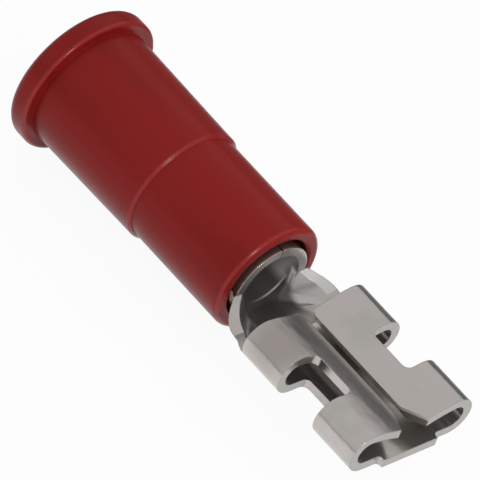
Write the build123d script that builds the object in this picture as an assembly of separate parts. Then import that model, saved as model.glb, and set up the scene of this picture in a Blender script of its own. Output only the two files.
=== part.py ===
from build123d import *
import math
import os

# Female spade terminal: a red vinyl sleeve over the wire barrel of a one-piece stamped receptacle.
# Millimetres. The X axis is the barrel's axis, towards the tab end. The model is drawn from the
# wire end and then moved, so that its origin is the middle of the wire barrel, where it is crimped.
# Z is up, on the side of the folded wings; the part is symmetric about the XZ plane.

# Sleeve, outside: nose over the barrel, a wider grip behind it and a flange at the wire end
sleeve_length = 12.18
nose_wall = 0.745
lip_outer_radius = 0.24
lip_inner_radius = 0.2
grip_length = 6.95
grip_step = 0.135
grip_taper = 0.09
grip_end_chamfer = 0.1
flange_height = 0.47
flange_thickness = 1.0
flange_rear_radius = 0.42
flange_front_radius = 0.14

# Sleeve, inside: wire mouth, insulation bore, funnel, stop behind the barrel, wider front mouth
wire_mouth_flare = 0.5
wire_mouth_depth = 1.1
insulation_bore_diameter = 3.9
insulation_bore_length = 4.8
funnel_length = 1.0
barrel_stop_thickness = 0.15
seat_clearance = 0.02
front_mouth_gap = 0.15
front_mouth_depth = 0.9

# Terminal, one sheet of tin-plated brass
sheet = 0.4
barrel_diameter = 3.5
barrel_end_clearance = 0.03
barrel_projection = 0.16
barrel_seam_gap = 0.05
barrel_seam_groove = 0.08
barrel_lead_in = 0.14

# Neck from the barrel to the receptacle, an open dish whose sides lean outwards. Its throat and middle
# are given as place along the neck, spread of the sides, change of the bend's radius and rise of the
# floor, each a share of the way from barrel to receptacle, and then the lean of the sides in degrees
neck_length = 2.05
neck_flare_length = 0.34
neck_barrel_arc = 25.0
neck_throat = (0.23, 0.146, 0.3, 0.16, 36.0)
neck_middle = (0.54, 0.6, 0.6, 0.53, 46.0)
neck_rim_rear_height = 0.0
neck_rim_front_depth = 0.55
neck_rim_slope_length = 1.25
neck_rim_radius = 0.14

# Receptacle: flat base, rolled sides, wings folded back over the base
receptacle_length = 6.5
receptacle_width = 6.2
roll_radius = 0.91
roll_centre_below_axis = 0.07
wing_slope = 15.0
wing_curl = 16.0
wing_gap = 0.42
wing_rear_corner_radius = 0.34
wing_bevel_length = 1.12
wing_bevel_width = 0.5
notch_start = 2.13
notch_length = 2.15
notch_depth = 1.7
notch_corner_radius = 0.3
tongue_projection = 0.26
tongue_width = 2.74
tongue_root_radius = 0.18
dimple_from_front = 3.3
dimple_radius = 0.55
dimple_height = 0.2

# Overall places worked out from the sizes above
insulation_bore_end = wire_mouth_depth + insulation_bore_length
funnel_end = insulation_bore_end + funnel_length
barrel_stop = funnel_end + barrel_stop_thickness
barrel_rear = barrel_stop + barrel_end_clearance
barrel_front = sleeve_length + barrel_projection
barrel_radius = barrel_diameter / 2
barrel_bore_radius = barrel_radius - sheet
seat_radius = barrel_radius + seat_clearance
nose_radius = seat_radius + nose_wall
grip_front_radius = nose_radius + grip_step
grip_rear_radius = grip_front_radius + grip_taper
flange_radius = grip_rear_radius + flange_height
crimp_centre = (barrel_rear + barrel_front) / 2
receptacle_rear = barrel_front + neck_length
receptacle_front = receptacle_rear + receptacle_length
roll_offset = receptacle_width / 2 - roll_radius
roll_z = -roll_centre_below_axis
base_underside = roll_z - roll_radius
base_floor = base_underside + sheet
neck_start = barrel_front - neck_flare_length
overrun = 1.0


def round_corner(outline, x, y, radius):
    """Round the corner of a flat outline that lies nearest to a point."""
    corner = outline.vertices().sort_by_distance((x, y))[0]
    return fillet(corner, radius)


def sleeve_outline():
    """Half section of the sleeve: X along the axis, Y the radius."""
    front_mouth_radius = barrel_radius + front_mouth_gap
    front_mouth_start = sleeve_length - front_mouth_depth
    bore_radius = insulation_bore_diameter / 2
    wire_mouth_radius = bore_radius + wire_mouth_flare
    outline = make_face(Polyline(
        (0, wire_mouth_radius), (0, flange_radius), (flange_thickness, flange_radius),
        (flange_thickness, grip_rear_radius), (grip_length, grip_front_radius), (grip_length, nose_radius),
        (sleeve_length, nose_radius), (sleeve_length, front_mouth_radius),
        (front_mouth_start, front_mouth_radius), (front_mouth_start, seat_radius),
        (barrel_stop, seat_radius), (barrel_stop, barrel_bore_radius), (funnel_end, barrel_bore_radius),
        (insulation_bore_end, bore_radius), (wire_mouth_depth, bore_radius), (0, wire_mouth_radius)))
    outline = round_corner(outline, 0, flange_radius, flange_rear_radius)
    outline = round_corner(outline, flange_thickness, flange_radius, flange_front_radius)
    grip_end = outline.vertices().sort_by_distance((grip_length, grip_front_radius))[0]
    outline = chamfer(grip_end, min(grip_end_chamfer, 0.8 * grip_step))
    outline = round_corner(outline, sleeve_length, nose_radius, lip_outer_radius)
    outline = round_corner(outline, sleeve_length, front_mouth_radius, lip_inner_radius)
    return outline


def insulating_sleeve():
    """Moulded sleeve, turned about the X axis."""
    return revolve(sleeve_outline(), Axis.X)


def barrel_seam():
    """Cutter for the butt seam: a narrow slot with a groove where its outer edges are rounded off."""
    length = barrel_front - barrel_rear
    slot = Box(length, barrel_seam_gap, barrel_radius, align=(Align.MIN, Align.CENTER, Align.MIN))
    side = barrel_seam_groove * math.sqrt(2)
    groove = Box(length, side, side, rotation=(45, 0, 0), align=(Align.MIN, Align.CENTER, Align.CENTER))
    return Pos(barrel_rear, 0, 0) * slot + Pos(barrel_rear, 0, barrel_radius) * groove


def wire_barrel():
    """Rolled barrel with its seam, a lead-in for the strands and its front cut away below the rim."""
    length = barrel_front - barrel_rear
    barrel = extrude(Plane.YZ.offset(barrel_rear) * Circle(barrel_radius), length)
    bore = extrude(Plane.YZ.offset(barrel_rear) * Circle(barrel_bore_radius), length)
    barrel -= bore
    inner_rim = barrel.edges().filter_by(GeomType.CIRCLE).group_by(Axis.X)[0].sort_by(SortBy.RADIUS)[0]
    barrel = chamfer(inner_rim, barrel_lead_in)
    flare = Box(barrel_diameter, barrel_diameter, barrel_diameter, align=(Align.MIN, Align.CENTER, Align.MAX))
    return barrel - barrel_seam() - Pos(neck_start, 0, neck_rim_rear_height) * flare


def neck_section(station, inset, top):
    """Closed channel section: curved floor, round bends and straight leaning walls up to top."""
    place, spread, bend, rise, lean = station
    radius = barrel_radius + (roll_radius - barrel_radius) * bend - inset
    depth = -barrel_radius + (base_underside + barrel_radius) * rise
    centre = (roll_offset * spread, depth + inset + radius)
    arc = neck_barrel_arc * (1 - place)
    foot = side_point(centre, radius, arc - 90)
    lower = side_point(centre, radius, (arc - 90 - lean) / 2)
    edge = side_point(centre, radius, -lean)
    rim = (edge[0] + (top - edge[1]) * math.tan(math.radians(lean)), top)
    keel = (0, foot[1] - foot[0] * math.tan(math.radians(arc / 2)))
    floor = Line(mirrored(foot), foot) if arc == 0 else ThreePointArc(mirrored(foot), keel, foot)
    outline = [
        floor,
        ThreePointArc(foot, lower, edge),
        Line(edge, rim),
        Line(rim, mirrored(rim)),
        Line(mirrored(rim), mirrored(edge)),
        ThreePointArc(mirrored(edge), mirrored(lower), mirrored(foot)),
    ]
    return Plane.YZ.offset(neck_start + place * (receptacle_rear - neck_start)) * make_face(outline)


def side_point(centre, radius, angle):
    """Point on the round side of a section, with the angle counted up from level."""
    turn = math.radians(angle)
    return (centre[0] + radius * math.cos(turn), centre[1] + radius * math.sin(turn))


def mirrored(point):
    """The same point on the other side of the section."""
    return (-point[0], point[1])


def neck_body(inset, top):
    """Solid lofted from the barrel's round to the receptacle's channel, inset by a wall."""
    stations = [(0, 0, 0, 0, 0), neck_throat, neck_middle, (1, 1, 1, 1, 0)]
    return loft([neck_section(station, inset, top) for station in stations])


def neck_opening():
    """Cutter above the rim, which falls from the barrel's side to just above the base."""
    slope_end = barrel_front + neck_rim_slope_length
    low = -neck_rim_front_depth
    middle = (barrel_front + 0.4 * neck_rim_slope_length, 0.45 * neck_rim_rear_height + 0.55 * low)
    front = receptacle_rear - neck_rim_radius
    side = make_face([
        Line((neck_start, neck_rim_rear_height), (barrel_front, neck_rim_rear_height)),
        ThreePointArc((barrel_front, neck_rim_rear_height), middle, (slope_end, low)),
        Line((slope_end, low), (front, low)),
        ThreePointArc((front, low), side_point((front, low + neck_rim_radius), neck_rim_radius, -45),
                      (receptacle_rear, low + neck_rim_radius)),
        Line((receptacle_rear, low + neck_rim_radius), (receptacle_rear, barrel_diameter)),
        Line((receptacle_rear, barrel_diameter), (neck_start, barrel_diameter)),
        Line((neck_start, barrel_diameter), (neck_start, neck_rim_rear_height)),
    ])
    return extrude(Plane.XZ * side, receptacle_width, both=True)


def neck():
    """Open scoop that carries the sheet from the barrel to the receptacle's base and sides."""
    shell = neck_body(0, barrel_radius) - neck_body(sheet, barrel_radius + overrun)
    return shell - neck_opening()


def wing_point(middle, normal_angle, radius):
    """Point of the bent section at a radius from middle, in the direction of the sheet's normal."""
    turn = math.radians(normal_angle)
    return (middle[0] - radius * math.sin(turn), middle[1] + radius * math.cos(turn))


def receptacle_side(sign):
    """Section of one half of the bent sheet, from the middle of the base to the wing's edge."""
    centre = (roll_offset, roll_z)
    inner = roll_radius - sheet
    start_slope = wing_slope - wing_curl / 2
    end_slope = wing_slope + wing_curl / 2
    outer_bend = wing_point(centre, start_slope, roll_radius)
    inner_bend = wing_point(centre, start_slope, inner)
    span = outer_bend[0] - wing_gap / 2
    outer_edge = (wing_gap / 2, outer_bend[1] - span * math.tan(math.radians(wing_slope)))
    inner_edge = wing_point(outer_edge, end_slope, -sheet)
    chord_middle = ((outer_bend[0] + outer_edge[0]) / 2, (outer_bend[1] + outer_edge[1]) / 2)
    rise = span / math.cos(math.radians(wing_slope)) * math.tan(math.radians(wing_curl / 4)) / 2
    outer_middle = wing_point(chord_middle, wing_slope, rise)
    inner_middle = wing_point(chord_middle, wing_slope, rise - sheet)
    outer_crest = wing_point(centre, (start_slope - 180) / 2, roll_radius)
    inner_crest = wing_point(centre, (start_slope - 180) / 2, inner)
    outline = [
        Line((0, base_underside), (roll_offset, base_underside)),
        ThreePointArc((roll_offset, base_underside), outer_crest, outer_bend),
        ThreePointArc(outer_bend, outer_middle, outer_edge),
        Line(outer_edge, inner_edge),
        ThreePointArc(inner_edge, inner_middle, inner_bend),
        ThreePointArc(inner_bend, inner_crest, (roll_offset, base_floor)),
        Line((roll_offset, base_floor), (0, base_floor)),
        Line((0, base_floor), (0, base_underside)),
    ]
    half = make_face(outline)
    return half if sign > 0 else mirror(half, Plane.YZ)


def notches():
    """Cutters for the notch between the front and rear roll of each side."""
    across = notch_depth + overrun
    middle_x = receptacle_rear + notch_start + notch_length / 2
    middle_y = receptacle_width / 2 - notch_depth + across / 2
    window = extrude(RectangleRounded(notch_length, across, notch_corner_radius), roll_radius + overrun, both=True)
    return Pos(middle_x, middle_y, 0) * window + Pos(middle_x, -middle_y, 0) * window


def wing_bevels():
    """Cutter for the slanted front corners where the tab enters between the wings."""
    gap = wing_gap / 2
    start = receptacle_front - wing_bevel_length
    reach = gap + wing_bevel_width * (wing_bevel_length + overrun) / wing_bevel_length
    plan = make_face(Polyline((start, gap), (start, -gap), (receptacle_front + overrun, -reach),
                              (receptacle_front + overrun, reach), (start, gap)))
    return Pos(0, 0, roll_z) * extrude(plan, barrel_radius)


def tongue():
    """Lip of the base that stands out in front of the rolls and guides the tab in."""
    half = tongue_width / 2
    root = receptacle_front - sheet
    tip = receptacle_front + tongue_projection
    plan = make_face(Polyline((root, -roll_offset), (receptacle_front, -roll_offset), (receptacle_front, -half),
                              (tip, -half), (tip, half), (receptacle_front, half),
                              (receptacle_front, roll_offset), (root, roll_offset), (root, -roll_offset)))
    root_radius = min(tongue_root_radius, 0.75 * tongue_projection)
    for side in (-half, half):
        plan = round_corner(plan, receptacle_front, side, root_radius)
    return Pos(0, 0, base_underside) * extrude(plan, sheet)


def dimple_ball():
    """Ball whose cap has the dimple's radius and height above the base's floor."""
    ball_radius = (dimple_radius ** 2 + dimple_height ** 2) / (2 * dimple_height)
    return Pos(receptacle_front - dimple_from_front, 0, base_floor + dimple_height - ball_radius) * Sphere(ball_radius)


def receptacle():
    """Base, rolls and wings of the bent sheet with their notches, bevels, tongue and dimple."""
    section = receptacle_side(1) + receptacle_side(-1)
    body = extrude(Plane.YZ.offset(receptacle_rear) * section, receptacle_length)
    body -= notches()
    body -= wing_bevels()
    corners = body.edges().filter_by(Plane.YZ).filter_by(GeomType.LINE).group_by(Axis.X)[0]
    corners = [edge for edge in corners if abs(edge.center().Y) < wing_gap and edge.center().Z > roll_z]
    body = fillet(corners, wing_rear_corner_radius)
    body += tongue()
    half_space = Pos(0, 0, base_floor) * Box(4 * receptacle_front, receptacle_width, barrel_diameter,
                                             align=(Align.CENTER, Align.CENTER, Align.MIN))
    body += dimple_ball() & half_space
    underside = Pos(0, 0, -sheet) * dimple_ball()
    return body - underside


def terminal():
    """The whole metal piece: barrel, neck and receptacle in one sheet."""
    return wire_barrel() + neck() + receptacle()


def write_parts():
    """Write one STEP file for each physical piece."""
    os.makedirs("parts", exist_ok=True)
    to_origin = Pos(-crimp_centre, 0, 0)
    export_step(to_origin * insulating_sleeve(), "parts/insulating_sleeve.step")
    export_step(to_origin * terminal(), "parts/terminal.step")


write_parts()
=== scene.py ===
"""Looks of a female spade terminal: satin red vinyl sleeve over a tin-plated stamped receptacle."""

import logging
import math
from dataclasses import dataclass, field
from enum import Enum
from typing import Any, Optional, Sequence, Union

import bpy
from mathutils import Matrix, Vector


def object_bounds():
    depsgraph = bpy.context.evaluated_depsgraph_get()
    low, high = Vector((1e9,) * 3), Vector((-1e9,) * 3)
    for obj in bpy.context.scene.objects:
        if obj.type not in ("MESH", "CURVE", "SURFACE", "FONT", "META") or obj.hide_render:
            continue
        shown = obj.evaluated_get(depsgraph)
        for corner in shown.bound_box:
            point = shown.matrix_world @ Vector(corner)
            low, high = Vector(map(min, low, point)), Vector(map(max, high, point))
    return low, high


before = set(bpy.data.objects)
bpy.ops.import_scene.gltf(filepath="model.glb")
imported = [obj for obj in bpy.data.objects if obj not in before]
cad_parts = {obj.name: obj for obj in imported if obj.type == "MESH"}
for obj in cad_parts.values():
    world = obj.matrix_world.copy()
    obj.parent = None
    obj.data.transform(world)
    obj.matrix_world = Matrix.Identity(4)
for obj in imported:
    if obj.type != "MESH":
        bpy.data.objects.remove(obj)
CAD_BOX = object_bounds()

MM = 0.001
IMAGE_WIDTH = 480
BEVEL_SAMPLES = 6
NOISE_MIDDLE = 0.5

# Sockets that Blender's Mix node uses when it mixes colours.
MIX_FACTOR = 0
MIX_FIRST = 6
MIX_SECOND = 7
MIX_RESULT = 2

log = logging.getLogger("terminal")

Colour = tuple[float, float, float]
Span = tuple[float, float]

WHITE: Colour = (1.0, 1.0, 1.0)


class Axis(Enum):
    """Axis of the row frame."""

    X = 0
    Y = 1
    Z = 2


class Output(Enum):
    """Kind of node that closes a graph."""

    MATERIAL = "ShaderNodeOutputMaterial"
    WORLD = "ShaderNodeOutputWorld"


@dataclass(frozen=True)
class Pattern:
    """Cloudy noise over a surface, with its features per millimetre on each axis."""

    scale: tuple[float, float, float]
    detail: float = 3.0
    roughness: float = 0.5


@dataclass(frozen=True)
class Tone:
    """Colour and metallic value that one place of the metal takes."""

    colour: Colour
    metallic: float


class Value:
    """A shader socket that takes part in Python sums."""

    def __init__(self, graph: "Graph", socket: bpy.types.NodeSocket) -> None:
        """Wrap a socket.

        Args:
            graph: Node graph that the socket belongs to.
            socket: Output socket that carries the value.
        """
        self.graph = graph
        self.socket = socket

    def __add__(self, other: Any) -> "Value":
        """Sum of two values."""
        return self.graph.math("ADD", self, other)

    __radd__ = __add__

    def __sub__(self, other: Any) -> "Value":
        """This value less another."""
        return self.graph.math("SUBTRACT", self, other)

    def __rsub__(self, other: Any) -> "Value":
        """Another value less this one."""
        return self.graph.math("SUBTRACT", other, self)

    def __mul__(self, other: Any) -> "Value":
        """Product of two values."""
        return self.graph.math("MULTIPLY", self, other)

    __rmul__ = __mul__

    def __gt__(self, other: Any) -> "Value":
        """1 where this value is above another, else 0."""
        return self.graph.math("GREATER_THAN", self, other)

    def __lt__(self, other: Any) -> "Value":
        """1 where this value is below another, else 0."""
        return self.graph.math("LESS_THAN", self, other)

    def __abs__(self) -> "Value":
        """Size of the value without its sign."""
        return self.graph.math("ABSOLUTE", self)


class Graph:
    """Node graph of a material or a world."""

    def __init__(self, tree: bpy.types.NodeTree) -> None:
        """Empty the tree and keep it.

        Args:
            tree: Node tree to fill.
        """
        self.tree = tree
        tree.nodes.clear()

    def node(self, kind: str, settings: Optional[dict[str, Any]] = None,
             inputs: Optional[dict[Any, Any]] = None) -> bpy.types.Node:
        """Add a node.

        Args:
            kind: Blender's type name of the node.
            settings: Properties of the node, set first.
            inputs: Values, wrapped sockets or sockets for the node's inputs, by name or number.

        Returns:
            The new node.
        """
        made = self.tree.nodes.new(kind)
        for name, setting in (settings or {}).items():
            setattr(made, name, setting)
        for name, value in (inputs or {}).items():
            self.feed(made.inputs[name], value)
        return made

    def feed(self, target: bpy.types.NodeSocket, value: Any) -> None:
        """Link or set an input socket.

        Args:
            target: Input socket.
            value: Wrapped value, socket, number or tuple.
        """
        if isinstance(value, Value):
            self.tree.links.new(value.socket, target)
        elif isinstance(value, bpy.types.NodeSocket):
            self.tree.links.new(value, target)
        elif isinstance(value, tuple) and len(value) == 3 and target.type == "RGBA":
            target.default_value = (*value, 1.0)
        else:
            target.default_value = value

    def output(self, made: bpy.types.Node, name: Union[int, str] = 0) -> Value:
        """Wrap a node's output socket."""
        return Value(self, made.outputs[name])

    def math(self, operation: str, *operands: Any) -> Value:
        """Result of a Math node on values or numbers."""
        return self.output(self.node("ShaderNodeMath", {"operation": operation}, dict(enumerate(operands))))

    def part(self, vector: bpy.types.NodeSocket, axis: Axis) -> Value:
        """One part of a vector."""
        return self.output(self.node("ShaderNodeSeparateXYZ", None, {0: vector}), axis.value)

    def coordinate(self, axis: Axis) -> Value:
        """One object coordinate in millimetres."""
        point = self.node("ShaderNodeTexCoord").outputs["Object"]
        return self.part(point, axis) * (1.0 / MM)

    def facing(self, axis: Axis) -> Value:
        """How far the face itself, before any bump, points along an axis: from -1 to 1."""
        return self.part(self.node("ShaderNodeNewGeometry").outputs["True Normal"], axis)

    def distance(self, *parts: Value) -> Value:
        """Length of a vector with the given parts."""
        return self.math("SQRT", sum((part * part for part in parts), 0.0))

    def radius(self) -> Value:
        """Distance from the barrel's axis in millimetres."""
        return self.distance(self.coordinate(Axis.Y), self.coordinate(Axis.Z))

    def noise(self, pattern: Pattern) -> Value:
        """Noise from 0 to 1.

        Args:
            pattern: Scale, detail and roughness of the noise.

        Returns:
            The noise's factor.
        """
        point = self.node("ShaderNodeTexCoord").outputs["Object"]
        scale = tuple(number / MM for number in pattern.scale)
        mapped = self.node("ShaderNodeMapping", None, {"Vector": point, "Scale": scale})
        made = self.node("ShaderNodeTexNoise", None, {
            "Vector": mapped.outputs[0], "Scale": 1.0, "Detail": pattern.detail,
            "Roughness": pattern.roughness})
        return self.output(made, "Fac")

    def rise(self, value: Value, span: Span) -> Value:
        """Soft step from 0 at the start of a span to 1 at its end.

        Args:
            value: Value to step.
            span: Start and end of the step.

        Returns:
            The stepped value.
        """
        made = self.node("ShaderNodeMapRange", {"interpolation_type": "SMOOTHSTEP"}, {
            "Value": value, "From Min": span[0], "From Max": span[1], "To Min": 0.0, "To Max": 1.0})
        return self.output(made, "Result")

    def fall(self, value: Value, span: Span) -> Value:
        """Soft step from 1 at the start of a span to 0 at its end."""
        return 1.0 - self.rise(value, span)

    def mix(self, factor: Any, first: Any, second: Any) -> Value:
        """Mix of two colours.

        Args:
            factor: Share of the second colour.
            first: Colour at 0.
            second: Colour at 1.

        Returns:
            The mixed colour.
        """
        made = self.node("ShaderNodeMix", {"data_type": "RGBA"}, {
            MIX_FACTOR: factor, MIX_FIRST: first, MIX_SECOND: second})
        return self.output(made, MIX_RESULT)

    def mix_shaders(self, factor: Value, first: bpy.types.Node, second: bpy.types.Node) -> bpy.types.Node:
        """Mix of two shaders.

        Args:
            factor: Share of the second shader.
            first: Shader at 0.
            second: Shader at 1.

        Returns:
            The Mix Shader node.
        """
        return self.node("ShaderNodeMixShader", None, {
            0: factor, 1: first.outputs[0], 2: second.outputs[0]})

    def bump(self, height: Value, distance: float, strength: float,
             edge_radius: float) -> bpy.types.NodeSocket:
        """Normal with a bump over softly rounded edges.

        Args:
            height: Height of the surface.
            distance: Metres for a height of 1.
            strength: Share of the bump.
            edge_radius: Radius of the rounded edges in metres.

        Returns:
            The normal.
        """
        rounded = self.node("ShaderNodeBevel", {"samples": BEVEL_SAMPLES}, {"Radius": edge_radius})
        made = self.node("ShaderNodeBump", None, {
            "Strength": strength, "Distance": distance, "Height": height, "Normal": rounded.outputs[0]})
        return made.outputs[0]

    def close(self, shader: bpy.types.Node, output: Output = Output.MATERIAL) -> None:
        """Send a shader to the graph's output."""
        self.node(output.value, None, {"Surface": shader.outputs[0]})


def new_material(name: str) -> tuple[bpy.types.Material, Graph]:
    """Make a material with an empty graph.

    Args:
        name: Name of the material.

    Returns:
        The material and its graph.
    """
    made = bpy.data.materials.new(name)
    made.use_nodes = True
    return made, Graph(made.node_tree)


class Plating:
    """Colour and metallic value of the metal, laid on one place after another."""

    def __init__(self, graph: Graph, colour: Value, metallic: float) -> None:
        """Start from the plain plate.

        Args:
            graph: Graph of the material.
            colour: Colour of the plain plate.
            metallic: Metallic value of the plain plate.
        """
        self.graph = graph
        self.plain = metallic
        self.colour = colour
        self.metallic: Any = metallic

    def tint(self, mask: Value, colour: Any) -> None:
        """Change only the colour where the mask is 1."""
        self.colour = self.graph.mix(mask, self.colour, colour)

    def lay(self, mask: Value, tone: Tone, colour: Optional[Value] = None) -> None:
        """Change the colour and the metallic value where the mask is 1.

        Args:
            mask: Place of the tone.
            tone: Tone that the place takes.
            colour: Varying colour that stands in for the tone's own.
        """
        self.tint(mask, tone.colour if colour is None else colour)
        self.metallic = self.metallic - mask * (self.plain - tone.metallic)


@dataclass(frozen=True)
class Vinyl:
    """Satin red moulded vinyl with lengthwise mottle, fine grain, glossier edges and a paler red painted
    along the edges as a highlight.

    Each entry of edges is the X and the radius in millimetres of an edge round the sleeve, and edge_width
    is the distance from it over which the glossier finish and the painted highlight fade.
    """

    body: Colour = (0.216, 0.0097, 0.0082)
    shade: Colour = (0.186, 0.0080, 0.0068)
    pale: Colour = (0.245, 0.020, 0.016)
    cloud: Pattern = Pattern((0.09, 0.6, 0.6), detail=2.0)
    cloud_span: Span = (0.40, 0.66)
    grain: Pattern = Pattern((9.0, 9.0, 9.0), detail=4.0, roughness=0.6)
    grain_span: Span = (0.55, 0.80)
    grain_share: float = 0.25
    roughness: float = 0.30
    roughness_spread: float = 0.08
    specular: float = 0.13
    corner_radius: float = 0.05 * MM
    bump_height: float = 0.012 * MM
    bump_strength: float = 0.5
    edges: tuple[tuple[float, float], ...] = ((-8.75, 3.17), (-2.81, 2.60), (2.40, 2.445))
    edge_width: Span = (0.05, 0.14)
    edge_gloss: float = 0.38
    # Painted highlight: a paler red laid along the sleeve's edges.
    edge_highlight_colour: Colour = (0.285, 0.0125, 0.0115)
    edge_highlight_share: float = 0.5
    gloss_roughness: float = 0.2

    def material(self) -> bpy.types.Material:
        """Build the material.

        Returns:
            Material for the sleeve.
        """
        made, graph = new_material("red_vinyl")
        cloud = graph.noise(self.cloud)
        grain = graph.noise(self.grain)
        colour = graph.mix(graph.rise(cloud, self.cloud_span), self.body, self.shade)
        colour = graph.mix(graph.rise(grain, self.grain_span) * self.grain_share, colour, self.pale)
        gloss_and_highlight = self.edge_mask(graph)
        # Painted highlight: the edges take the paler red.
        colour = graph.mix(gloss_and_highlight * self.edge_highlight_share, colour, self.edge_highlight_colour)
        normal = graph.bump(grain, self.bump_height, self.bump_strength, self.corner_radius)
        shader = graph.node("ShaderNodeBsdfPrincipled", None, {
            "Base Color": colour,
            "Roughness": self.roughness + (cloud - NOISE_MIDDLE) * self.roughness_spread,
            "Specular IOR Level": self.specular,
            "Coat Weight": gloss_and_highlight * self.edge_gloss,
            "Coat Roughness": self.gloss_roughness,
            "Normal": normal})
        graph.close(shader)
        return made

    def edge_mask(self, graph: Graph) -> Value:
        """Mask of the sleeve's outer edges.

        Args:
            graph: Graph of the material.

        Returns:
            1 along the edges and 0 elsewhere.
        """
        along = graph.coordinate(Axis.X)
        across = graph.radius()
        rings = [graph.distance(along - place, across - radius) for place, radius in self.edges]
        return sum((graph.fall(ring, self.edge_width) for ring in rings), 0.0)


@dataclass(frozen=True)
class TinPlate:
    """Tin plate on stamped brass: soft grey metal with rolling marks along the part.

    Places and heights are in millimetres, and places are in the row frame. Body and dull are the plain
    plate. Every other colour belongs to one place of the part and follows what that place shows in the
    photograph, so it stays there under any light.
    """

    body: Colour = (0.545, 0.505, 0.486)
    dull: Colour = (0.482, 0.470, 0.440)
    metallic: float = 0.93
    cloud: Pattern = Pattern((0.5, 0.5, 0.5))
    cloud_span: Span = (0.42, 0.68)
    marks: Pattern = Pattern((0.5, 12.0, 12.0))
    waves: Pattern = Pattern((1.1, 1.6, 1.6), detail=4.0, roughness=0.45)
    roughness: float = 0.22
    roughness_spread: float = 0.05
    corner_radius: float = 0.05 * MM
    mark_height: float = 0.0004
    wave_height: float = 0.017
    bump_strength: float = 1.0

    # Painted shade: a darker colour on the rear left roll for the dark band it mirrors.
    roll_shade: Colour = (0.40, 0.36, 0.345)
    roll_shade_centre: tuple[float, float, float] = (5.8, -2.2, 0.7)
    roll_shade_reach: Span = (0.6, 1.7)

    bore: Tone = Tone((0.30, 0.31, 0.28), 0.3)
    bore_radius: Span = (1.33, 1.39)
    bore_front: Span = (2.2, 2.8)
    # Painted light: a pale colour on the front of the bore's +Y side.
    bore_painted_light: Colour = (0.93, 0.90, 0.87)
    bore_painted_light_side: Span = (0.95, 1.25)
    bore_painted_light_front: Span = (1.2, 2.0)

    # Painted shade and painted reflection: dark under the sleeve's lip, red from the mirrored sleeve.
    rim_shade: Tone = Tone((0.20, 0.125, 0.105), 0.75)
    rim_shade_radius: Span = (1.60, 1.68)
    rim_shade_front: Span = (2.50, 2.60)

    # Painted shade: a dark colour on the neck's floor.
    dish_shade: Tone = Tone((0.10, 0.097, 0.09), 0.5)
    dish_shade_side: Span = (1.0, 1.4)
    dish_shade_front: Span = (3.5, 4.3)
    dish_shade_level: Span = (-0.65, -0.45)

    # Painted highlight: a bright, non-metallic line where the bore flares into the neck.
    crease_highlight: Colour = (0.95, 0.93, 0.90)
    crease_highlight_place: float = 2.29
    crease_highlight_width: Span = (0.02, 0.07)
    crease_highlight_radius: Span = (1.42, 1.5)
    crease_highlight_level: Span = (-0.6, -0.2)
    crease_highlight_side: Span = (-0.4, 1.3)

    cut: Tone = Tone((0.50, 0.43, 0.40), 0.45)
    cut_start: float = 4.7
    cut_depth: float = 0.17
    cut_upright: float = 0.6
    cut_sideways: float = 0.5
    wing_gap: float = 0.21
    wing_edge_height: float = 0.332
    wing_rise: float = 0.384
    bevel_start: float = 10.06
    bevel_slope: float = 0.446
    # Painted shade: a dark lower band on the cut faces of the slanted wing corners.
    corner_shade: Colour = (0.13, 0.115, 0.105)
    corner_shade_depth: Span = (0.10, 0.16)

    end: Tone = Tone((0.40, 0.385, 0.37), 0.75)
    end_start: float = 4.0
    end_facing: float = 0.8

    # Painted light: a paler, less metallic colour on the inner face of the neck's +Y wall.
    wall_light: Tone = Tone((0.62, 0.61, 0.585), 0.4)
    wall_light_rear: float = 2.65
    wall_light_front: Span = (4.2, 4.7)
    wall_light_side: Span = (1.1, 1.4)
    wall_light_flat: float = 0.97

    # Painted shade: a dark colour on the base's floor under the wings.
    floor: Tone = Tone((0.165, 0.140, 0.130), 0.55)
    floor_shade_level: Span = (-0.50, -0.40)
    floor_shade_side: Span = (1.0, 1.5)
    floor_shade_rear: Span = (4.8, 5.1)
    floor_shade_front: Span = (8.6, 9.9)

    def material(self) -> bpy.types.Material:
        """Build the material.

        Returns:
            Material for the metal.
        """
        made, graph = new_material("tin_plate")
        cloud = graph.noise(self.cloud)
        marks = graph.noise(self.marks)
        waves = graph.noise(self.waves)
        plain = graph.mix(graph.rise(cloud, self.cloud_span), self.body, self.dull)
        plating = self.places(graph, plain)
        spread = (marks - NOISE_MIDDLE) * self.roughness_spread
        spread = spread + (cloud - NOISE_MIDDLE) * self.roughness_spread
        height = marks * self.mark_height + waves * self.wave_height
        shader = graph.node("ShaderNodeBsdfPrincipled", None, {
            "Base Color": plating.colour,
            "Metallic": plating.metallic,
            "Roughness": self.roughness + spread,
            "Normal": graph.bump(height, MM, self.bump_strength, self.corner_radius)})
        graph.close(shader)
        return made

    def places(self, graph: Graph, plain: Value) -> Plating:
        """Lay each place's tone over the plain plate.

        Args:
            graph: Graph of the material.
            plain: Colour of the plain plate.

        Returns:
            The plating with all its places.
        """
        plating = Plating(graph, plain, self.metallic)
        plating.tint(self.roll_shade_mask(graph), self.roll_shade)
        lit = graph.mix(self.bore_painted_light_mask(graph), self.bore.colour, self.bore_painted_light)
        plating.lay(self.bore_mask(graph), self.bore, lit)
        plating.lay(self.rim_shade_mask(graph), self.rim_shade)
        plating.lay(self.dish_shade_mask(graph), self.dish_shade)
        crease_highlight = self.crease_highlight_mask(graph)
        plating.tint(crease_highlight, self.crease_highlight)
        plating.metallic = plating.metallic * (1.0 - crease_highlight)
        shaded_cut = graph.mix(self.corner_shade_mask(graph), self.cut.colour, self.corner_shade)
        plating.lay(self.cut_mask(graph), self.cut, shaded_cut)
        plating.lay(self.end_mask(graph), self.end)
        plating.lay(self.wall_light_mask(graph), self.wall_light)
        plating.lay(self.floor_shade_mask(graph), self.floor)
        return plating

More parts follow.
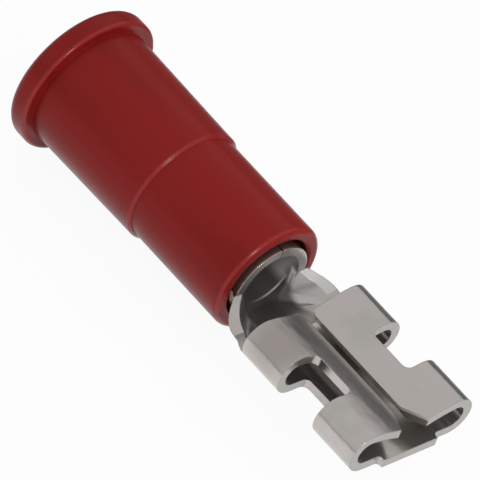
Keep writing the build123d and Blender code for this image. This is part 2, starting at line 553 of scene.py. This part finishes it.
    def roll_shade_mask(self, graph: Graph) -> Value:
        """Soft mask of the painted shade on the rear left roll, a darker colour standing in for the dark
        band that the roll mirrors.

        Args:
            graph: Graph of the material.

        Returns:
            1 in the middle of the patch and 0 away from it.
        """
        apart = [graph.coordinate(axis) - place for axis, place in zip(Axis, self.roll_shade_centre)]
        return graph.fall(graph.distance(*apart), self.roll_shade_reach)

    def bore_mask(self, graph: Graph) -> Value:
        """Mask of the inside of the barrel."""
        inside = graph.fall(graph.radius(), self.bore_radius)
        return inside * graph.fall(graph.coordinate(Axis.X), self.bore_front)

    def bore_painted_light_mask(self, graph: Graph) -> Value:
        """Mask of the painted light on the bore, a paler colour at the front of its +Y side."""
        side = graph.rise(graph.coordinate(Axis.Y), self.bore_painted_light_side)
        return side * graph.rise(graph.coordinate(Axis.X), self.bore_painted_light_front)

    def rim_shade_mask(self, graph: Graph) -> Value:
        """Mask of the outside of the barrel beside the sleeve, painted darker as shade and redder as the
        sleeve's reflection.
        """
        outside = graph.rise(graph.radius(), self.rim_shade_radius)
        return outside * graph.fall(graph.coordinate(Axis.X), self.rim_shade_front)

    def dish_shade_mask(self, graph: Graph) -> Value:
        """Mask of the painted shade on the neck's floor, a dark colour where that floor lies in shade.

        Args:
            graph: Graph of the material.

        Returns:
            1 on the floor and 0 elsewhere.
        """
        upward = graph.facing(Axis.Z) > 0.0
        low = graph.fall(graph.coordinate(Axis.Z), self.dish_shade_level)
        middle = graph.fall(abs(graph.coordinate(Axis.Y)), self.dish_shade_side)
        return upward * low * middle * graph.fall(graph.coordinate(Axis.X), self.dish_shade_front)

    def crease_highlight_mask(self, graph: Graph) -> Value:
        """Mask of the painted highlight, a bright line where the barrel's bore flares into the neck.

        Args:
            graph: Graph of the material.

        Returns:
            1 along the crease and 0 elsewhere.
        """
        line = graph.fall(abs(graph.coordinate(Axis.X) - self.crease_highlight_place), self.crease_highlight_width)
        inside = graph.fall(graph.radius(), self.crease_highlight_radius)
        low = graph.fall(graph.coordinate(Axis.Z), self.crease_highlight_level)
        return line * (inside * low) * graph.rise(graph.coordinate(Axis.Y), self.crease_highlight_side)

    def cut_mask(self, graph: Graph) -> Value:
        """Mask of the sheared faces along the gap between the wings, browner and less metallic.

        Args:
            graph: Graph of the material.

        Returns:
            1 on the sheared faces and 0 elsewhere.
        """
        along = graph.coordinate(Axis.X)
        across = abs(graph.coordinate(Axis.Y))
        beyond = graph.math("MAXIMUM", along - self.bevel_start, 0.0)
        edge = self.wing_gap + beyond * self.bevel_slope
        near = across - edge < self.cut_depth
        upright = abs(graph.facing(Axis.Z)) < self.cut_upright
        sideways = abs(graph.facing(Axis.Y)) > self.cut_sideways
        return near * upright * sideways * (along > self.cut_start)

    def corner_shade_mask(self, graph: Graph) -> Value:
        """Mask of the painted shade on the lower band of the slanted wing corners' cut faces.

        Args:
            graph: Graph of the material.

        Returns:
            1 in the lower part of the corners' cut faces, 0 above it and behind the corners.
        """
        across = abs(graph.coordinate(Axis.Y))
        edge_top = self.wing_edge_height + (across - self.wing_gap) * self.wing_rise
        corner_shade = graph.rise(edge_top - graph.coordinate(Axis.Z), self.corner_shade_depth)
        return corner_shade * (graph.coordinate(Axis.X) > self.bevel_start)

    def end_mask(self, graph: Graph) -> Value:
        """Mask of the stamped faces that point to the front."""
        return (graph.facing(Axis.X) > self.end_facing) * (graph.coordinate(Axis.X) > self.end_start)

    def wall_light_mask(self, graph: Graph) -> Value:
        """Mask of the painted light, a paler and less metallic colour, on the inner face of the neck's
        leaning +Y side.

        Args:
            graph: Graph of the material.

        Returns:
            1 on the wall and 0 elsewhere.
        """
        along = graph.coordinate(Axis.X)
        upward = graph.facing(Axis.Z) > 0.0
        leaning = graph.facing(Axis.Z) < self.wall_light_flat
        outer = graph.rise(graph.coordinate(Axis.Y), self.wall_light_side)
        return upward * leaning * outer * (along > self.wall_light_rear) * graph.fall(along, self.wall_light_front)

    def floor_shade_mask(self, graph: Graph) -> Value:
        """Mask of the painted shade on the base's floor under the wings, a dark colour where that floor
        lies in shade.

        Args:
            graph: Graph of the material.

        Returns:
            1 on the floor and 0 elsewhere.
        """
        along = graph.coordinate(Axis.X)
        low = graph.fall(graph.coordinate(Axis.Z), self.floor_shade_level)
        middle = graph.fall(abs(graph.coordinate(Axis.Y)), self.floor_shade_side)
        return low * middle * graph.rise(along, self.floor_shade_rear) * graph.fall(along, self.floor_shade_front)


@dataclass
class CadPiece:
    """A CAD node that keeps its mesh and gets a finish."""

    node: str
    slot: str

    def dress(self, material: bpy.types.Material) -> bpy.types.Object:
        """Give the node's material slots the finish.

        Args:
            material: Finish for the whole node.

        Returns:
            The node's object.
        """
        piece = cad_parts[self.node]
        for place in piece.material_slots:
            place.material = material
        return piece


@dataclass
class Sleeve(CadPiece):
    """Insulating sleeve around the wire barrel."""

    node: str = "insulating_sleeve"
    slot: str = "vinyl"
    finish: Vinyl = Vinyl()

    def build(self) -> list[bpy.types.Object]:
        """Dress the sleeve's node and return its pieces."""
        return [self.dress(self.finish.material())]


@dataclass
class Terminal(CadPiece):
    """Stamped and rolled receptacle with its neck and wire barrel."""

    node: str = "terminal"
    slot: str = "tin_plate"
    finish: TinPlate = TinPlate()

    def build(self) -> list[bpy.types.Object]:
        """Dress the terminal's node and return its pieces."""
        return [self.dress(self.finish.material())]


@dataclass
class Lamp:
    """Square soft lamp aimed at the part, which the metal mirrors only if mirrored is true."""

    name: str
    azimuth: float
    elevation: float
    distance: float
    size: float
    power: float
    mirrored: bool = True

    def build(self, target: Vector) -> bpy.types.Object:
        """Add the lamp.

        Args:
            target: Point that the lamp faces.

        Returns:
            The lamp's object.
        """
        turn = math.radians(self.azimuth)
        lift = math.radians(self.elevation)
        away = Vector((math.cos(lift) * math.sin(turn), -math.cos(lift) * math.cos(turn), math.sin(lift)))
        data = bpy.data.lights.new(self.name, "AREA")
        data.shape = "SQUARE"
        data.size = self.size
        data.energy = self.power
        made = bpy.data.objects.new(self.name, data)
        bpy.context.scene.collection.objects.link(made)
        made.visible_glossy = self.mirrored
        made.location = target + away * self.distance
        made.rotation_euler = away.to_track_quat("Z", "Y").to_euler()
        return made


@dataclass
class Studio:
    """White floor, white surroundings, soft lamps and the camera.

    The spans of the band and the horizon are heights of a direction's unit vector, and band_side is how
    far that vector points to the back. floor_far is where, in millimetres of Y, the mirrored floor darkens.
    """

    floor_size: float = 2.0
    floor_glow: float = 0.94
    floor_far: Span = (9.0, 15.0)
    floor_far_glow: float = 0.12
    floor_colour: Colour = (0.80, 0.80, 0.80)
    world_level: float = 0.75
    band_foot: Span = (0.05, 0.12)
    band_top: Span = (0.33, 0.405)
    band_side: Span = (0.15, 0.55)
    band_depth: float = 0.92
    band_colour: Colour = (0.98, 1.0, 0.90)
    band_core: Span = (0.5, 1.0)
    mirrored_level: float = 0.72
    horizon: Span = (0.04, 0.13)
    horizon_depth: float = 0.65
    camera_azimuth: float = 35.13
    camera_elevation: float = 41.98
    camera_roll: float = 21.90
    camera_distance: float = 339.06 * MM
    camera_right: float = -1.001 * MM
    camera_up: float = 1.431 * MM
    camera_nearest: float = 10.0 * MM
    focal_pixels: float = 8944.0
    sensor_width: float = 36.0
    target: Vector = field(default_factory=lambda: Vector((2.36 * MM, 0.0, 0.0)))
    lamps: Sequence[Lamp] = (
        Lamp("edge_lamp", azimuth=74.0, elevation=31.0, distance=0.6, size=0.07, power=0.9),
        Lamp("side_lamp", azimuth=155.0, elevation=50.0, distance=0.6, size=0.30, power=0.6,
             mirrored=False),
    )

    def build_world(self) -> None:
        """White all round, with a dark band low at the back that the bent metal mirrors."""
        world = bpy.data.worlds.new("white_room")
        world.use_nodes = True
        bpy.context.scene.world = world
        graph = Graph(world.node_tree)
        path = graph.node("ShaderNodeLightPath")
        away = graph.node("ShaderNodeTexCoord").outputs["Generated"]
        height = graph.part(away, Axis.Z)
        band = graph.rise(height, self.band_foot) * graph.fall(height, self.band_top)
        band = band * graph.rise(graph.part(away, Axis.Y), self.band_side)
        level = (1.0 - self.band_depth * band) * self.mirrored_level
        level = level * (1.0 - self.horizon_depth * graph.fall(height, self.horizon))
        tint = graph.mix(graph.rise(band, self.band_core), WHITE, self.band_colour)
        mirrored = graph.node("ShaderNodeBackground", None, {"Color": tint, "Strength": level})
        lit = graph.node("ShaderNodeBackground", None, {"Color": WHITE, "Strength": self.world_level})
        white = graph.node("ShaderNodeBackground", None, {"Color": WHITE, "Strength": 1.0})
        glossy = graph.mix_shaders(graph.output(path, "Is Glossy Ray"), lit, mirrored)
        through = graph.output(path, "Is Transmission Ray")
        seen = graph.math("MAXIMUM", graph.output(path, "Is Camera Ray"), through)
        graph.close(graph.mix_shaders(seen, glossy, white), Output.WORLD)

    def floor_material(self) -> bpy.types.Material:
        """White that glows when it is looked at, and is darker far behind the part when it is mirrored.

        Returns:
            Material for the floor.
        """
        made, graph = new_material("white_floor")
        path = graph.node("ShaderNodeLightPath")
        mirrored = graph.output(path, "Is Glossy Ray")
        seen = graph.math("MAXIMUM", graph.output(path, "Is Camera Ray"), mirrored)
        seen = graph.math("MAXIMUM", seen, graph.output(path, "Is Transmission Ray")) * self.floor_glow
        far = graph.rise(graph.coordinate(Axis.Y), self.floor_far) * mirrored
        level = 1.0 - far * (1.0 - self.floor_far_glow)
        plain = graph.node("ShaderNodeBsdfDiffuse", None, {"Color": self.floor_colour})
        glow = graph.node("ShaderNodeEmission", None, {"Color": WHITE, "Strength": level})
        graph.close(graph.mix_shaders(seen, plain, glow))
        return made

    def build_floor(self) -> bpy.types.Object:
        """Add the floor under the part.

        Returns:
            The floor's object.
        """
        bpy.ops.object.select_all(action="DESELECT")
        bpy.ops.mesh.primitive_plane_add(size=self.floor_size, location=(0.0, 0.0, CAD_BOX[0].z))
        floor = bpy.context.active_object
        floor.name = "floor"
        floor.data.materials.append(self.floor_material())
        return floor

    def build_camera(self) -> bpy.types.Object:
        """Add the camera at the photograph's angle.

        Returns:
            The camera's object.
        """
        data = bpy.data.cameras.new("view")
        data.sensor_width = self.sensor_width
        data.lens = self.focal_pixels * self.sensor_width / IMAGE_WIDTH
        data.clip_start = self.camera_nearest
        made = bpy.data.objects.new("view", data)
        bpy.context.scene.collection.objects.link(made)
        turn = Matrix.Rotation(math.radians(self.camera_azimuth), 4, "Z")
        lean = Matrix.Rotation(math.radians(90.0 - self.camera_elevation), 4, "X")
        roll = Matrix.Rotation(math.radians(self.camera_roll), 4, "Z")
        facing = turn @ lean @ roll
        offset = facing @ Vector((self.camera_right, self.camera_up, self.camera_distance))
        made.matrix_world = Matrix.Translation(self.target + offset) @ facing
        bpy.context.scene.camera = made
        return made

    def build(self) -> None:
        """Build the whole studio."""
        bpy.context.scene.view_settings.view_transform = "Standard"
        self.build_world()
        self.build_floor()
        for lamp in self.lamps:
            lamp.build(self.target)
        self.build_camera()


def main() -> None:
    """Build the part and the studio."""
    logging.basicConfig(level=logging.INFO, format="%(name)s: %(message)s")
    for assembly in (Sleeve(), Terminal()):
        for piece in assembly.build():
            log.info("%s: %s, %d faces", type(assembly).__name__, piece.name, len(piece.data.polygons))
    Studio().build()


if __name__ == "__main__":
    main()
